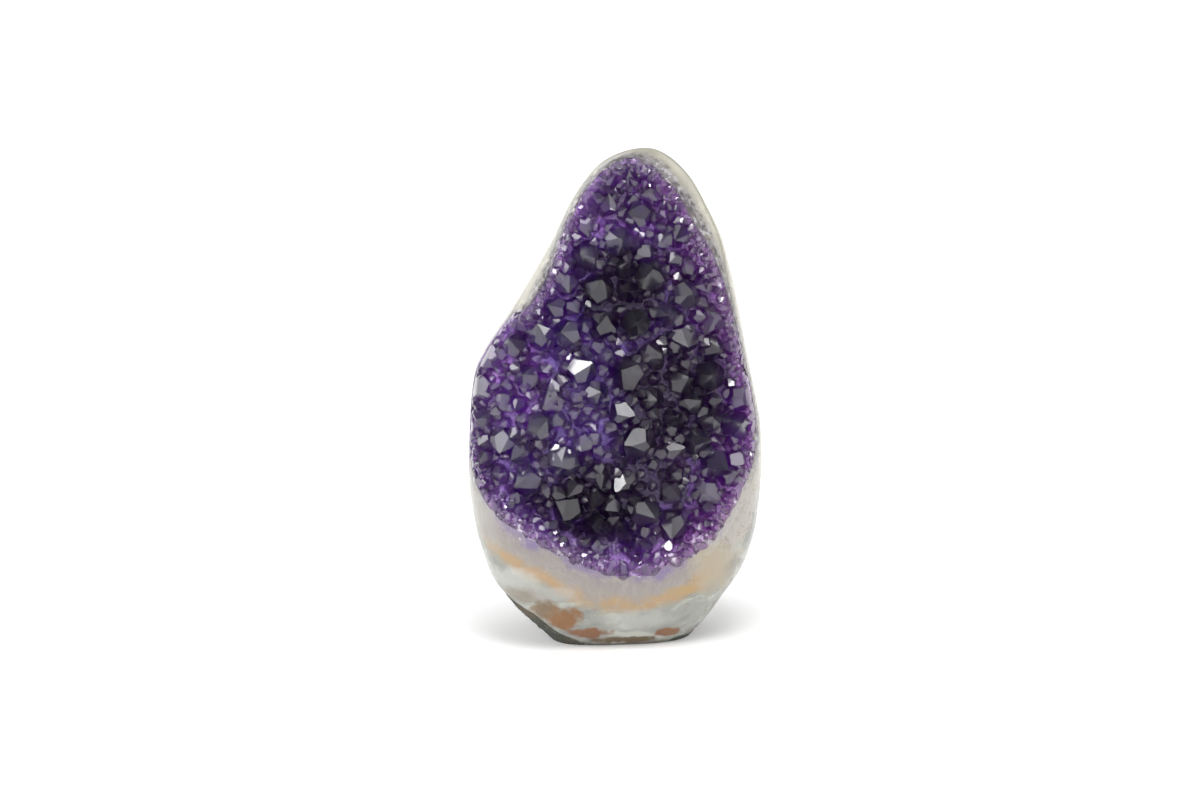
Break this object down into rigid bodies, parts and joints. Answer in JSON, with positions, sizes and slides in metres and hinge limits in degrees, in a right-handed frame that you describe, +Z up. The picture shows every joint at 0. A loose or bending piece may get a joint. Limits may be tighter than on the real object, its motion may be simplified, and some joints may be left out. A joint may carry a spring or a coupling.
{
  "type": "amethyst geode",
  "caption": "Free-standing cut-base geode: a polished agate stone, pear-shaped from the front, whose open face is lined with a crust of amethyst crystals. Rests on its flat base.",
  "frame": {"origin": "middle of the object's footprint box, on the plane of the flat cut base", "axes": "+Z up from the base to the rounded tip; -Y is the side that the crystals face; +X is to the right for someone who looks at the crystals"},
  "size_m": [0.0842, 0.0603, 0.14],
  "materials": {
    "agate": null,
    "amethyst": "clear violet quartz with flat shiny crystal faces"
  },
  "bodies": {
    "root": {"agate_stone": "agate", "amethyst_crust": "amethyst"}
  },
  "joints": []
}
